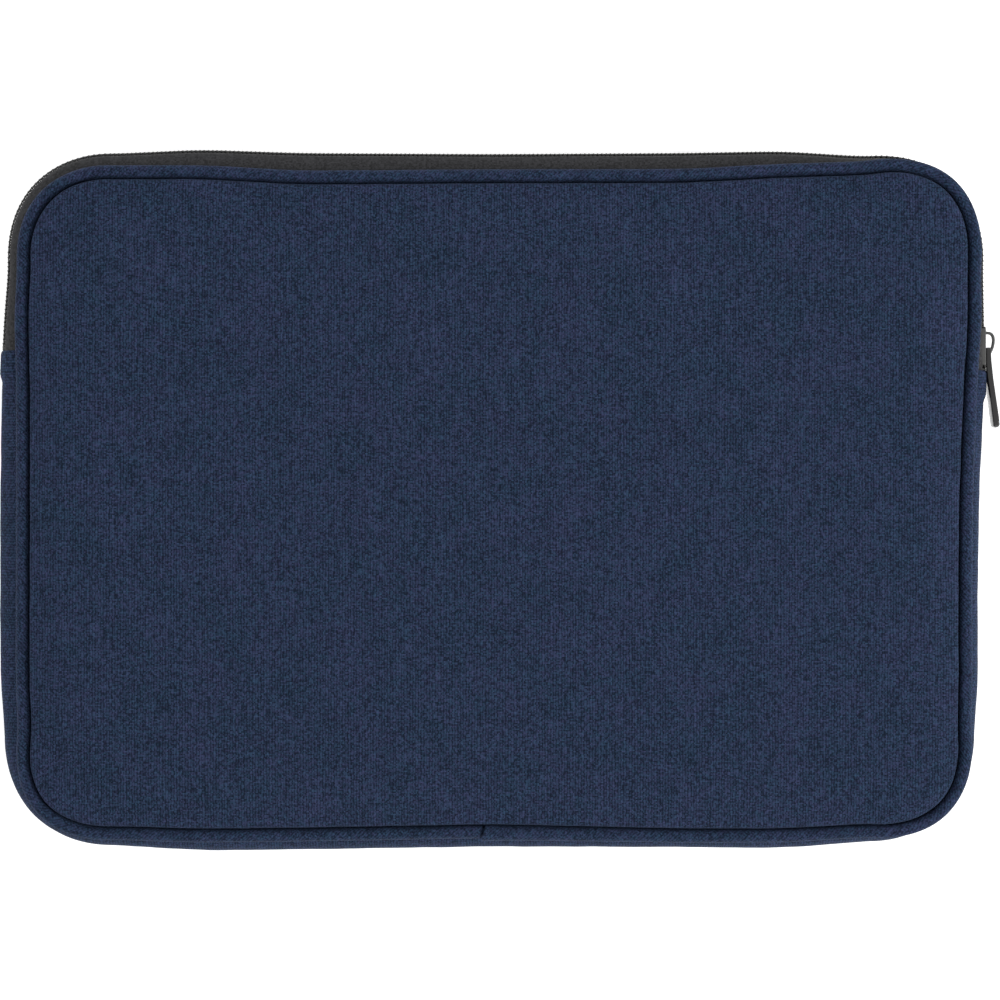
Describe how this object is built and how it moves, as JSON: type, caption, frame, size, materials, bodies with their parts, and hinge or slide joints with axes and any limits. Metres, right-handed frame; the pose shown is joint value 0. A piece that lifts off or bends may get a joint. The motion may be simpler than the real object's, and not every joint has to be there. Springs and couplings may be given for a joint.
{
  "type": "laptop sleeve",
  "caption": "Padded zipped sleeve for a slim laptop: two foam panels with piped edges, a side gusset and a zip over the top edge with a slider and pull.",
  "frame": {"origin": "Centre of the back panel's outer face, which is the face the sleeve rests on.", "axes": "X runs along the width, with the slider on the +X side. Y runs along the height, with the zipped top edge at +Y. Z runs through the thickness, with the front panel facing +Z."},
  "size_m": [0.3755, 0.262, 0.027],
  "materials": {
    "navy_canvas": "heathered navy polyester canvas",
    "foam": "soft open-cell padding",
    "lining": "black brushed lining",
    "binding_tape": "black woven binding",
    "filler_cord": "twisted filler cord",
    "zip_tape": "black woven zip tape",
    "zip_nylon": "black moulded nylon",
    "dark_metal": "black enamelled zinc",
    "dark_gloss": "black enamelled zinc, glossy"
  },
  "bodies": {
    "shell": {"back_panel_cover": "navy_canvas", "back_foam": "foam", "back_lining": "lining", "back_piping_cover": "navy_canvas", "back_piping_cord": "filler_cord", "back_seam_binding": "binding_tape", "gusset_cover": "navy_canvas", "gusset_foam": "foam", "gusset_lining": "lining", "rear_zip_tape": "zip_tape", "rear_zip_coil": "zip_nylon", "front_panel_cover_lower": "navy_canvas", "front_foam_lower": "foam", "front_lining_lower": "lining", "front_piping_cover_lower": "navy_canvas", "front_piping_cord_lower": "filler_cord", "front_seam_binding_lower": "binding_tape", "front_zip_tape_left": "zip_tape", "front_zip_tape_right": "zip_tape", "front_zip_coil_left": "zip_nylon", "front_zip_coil_right": "zip_nylon", "zip_top_stop_front": "zip_nylon", "zip_top_stop_rear": "zip_nylon", "zip_bottom_stop": "zip_nylon"},
    "flap": {"front_panel_cover_upper": "navy_canvas", "front_foam_upper": "foam", "front_lining_upper": "lining", "front_piping_cover_upper": "navy_canvas", "front_piping_cord_upper": "filler_cord", "front_seam_binding_upper": "binding_tape", "front_zip_tape_top": "zip_tape", "front_zip_coil_top": "zip_nylon"},
    "slider": {"slider_body": "dark_metal"},
    "pull": {"pull_tab": "dark_gloss"}
  },
  "joints": [
    {"name": "flap_fold", "type": "hinge", "parent": "shell", "child": "flap", "pos_m": [0, 0.096, 0.0275], "axis": [1, 0, 0], "range_deg": [0, 65]},
    {"name": "slider_run", "type": "slide", "parent": "shell", "child": "slider", "axis": [0, 1, 0], "range_m": [0, 0.023]},
    {"name": "pull_swing", "type": "hinge", "parent": "slider", "child": "pull", "pos_m": [0.1867, 0.0563, 0.0135], "axis": [0, 0, 1], "range_deg": [0, 160]}
  ]
}
